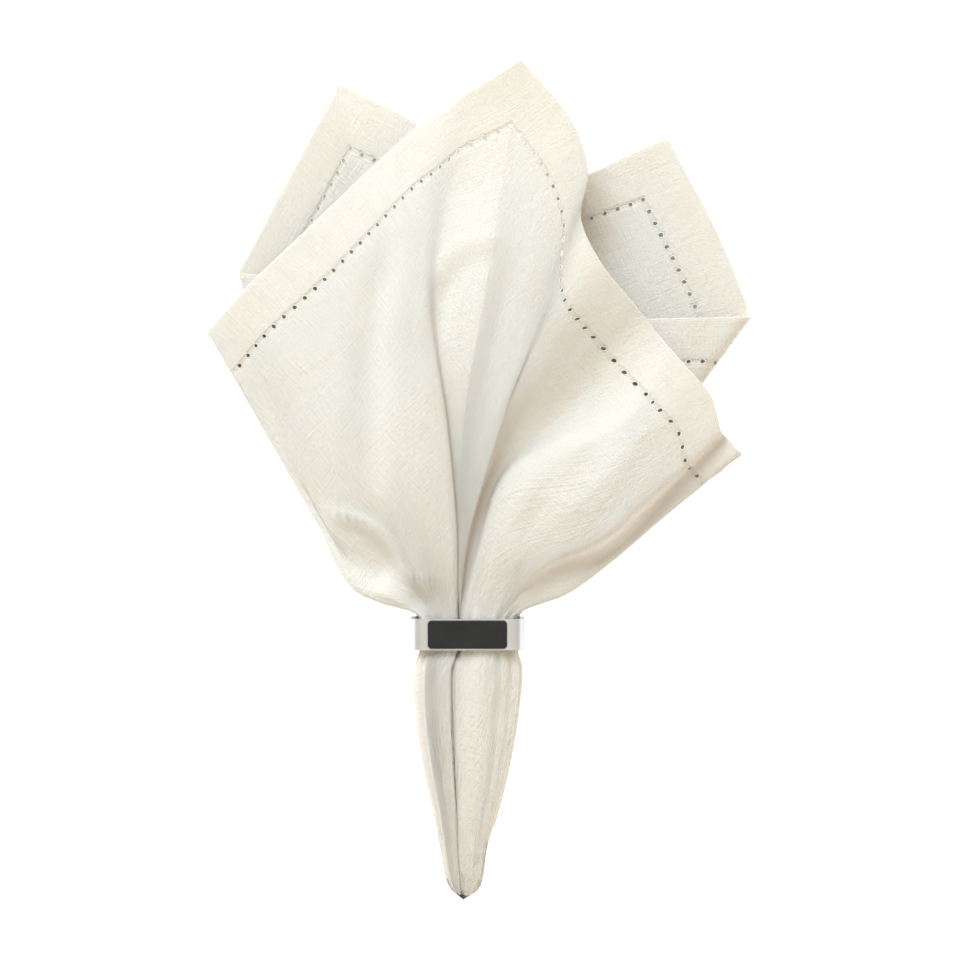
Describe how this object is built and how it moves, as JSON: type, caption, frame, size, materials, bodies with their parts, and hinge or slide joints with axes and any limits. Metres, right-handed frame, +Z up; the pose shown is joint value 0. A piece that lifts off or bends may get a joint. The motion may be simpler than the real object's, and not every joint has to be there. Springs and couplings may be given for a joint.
{
  "type": "cloth napkin in a ring",
  "caption": "Square hemmed cloth napkin drawn by its middle through an oblong band ring with a flat front panel, its corners fanned out above the ring and a folded point below.",
  "frame": {"origin": "bottom centre of the part's bounding box, on the table that it lies on", "axes": "+Y along the napkin from its gathered point to its corners, +Z up off the table and out of the front, +X to the right as seen from the front"},
  "size_m": [0.2307, 0.3554, 0.0431],
  "materials": {
    "cloth": "matt plain weave, lightly crinkled",
    "silver_metal": "satin silver",
    "black_panel": "smooth black, low gloss"
  },
  "bodies": {
    "root": {"napkin": "cloth", "ring_band": "silver_metal", "ring_panel": "black_panel"}
  },
  "joints": []
}
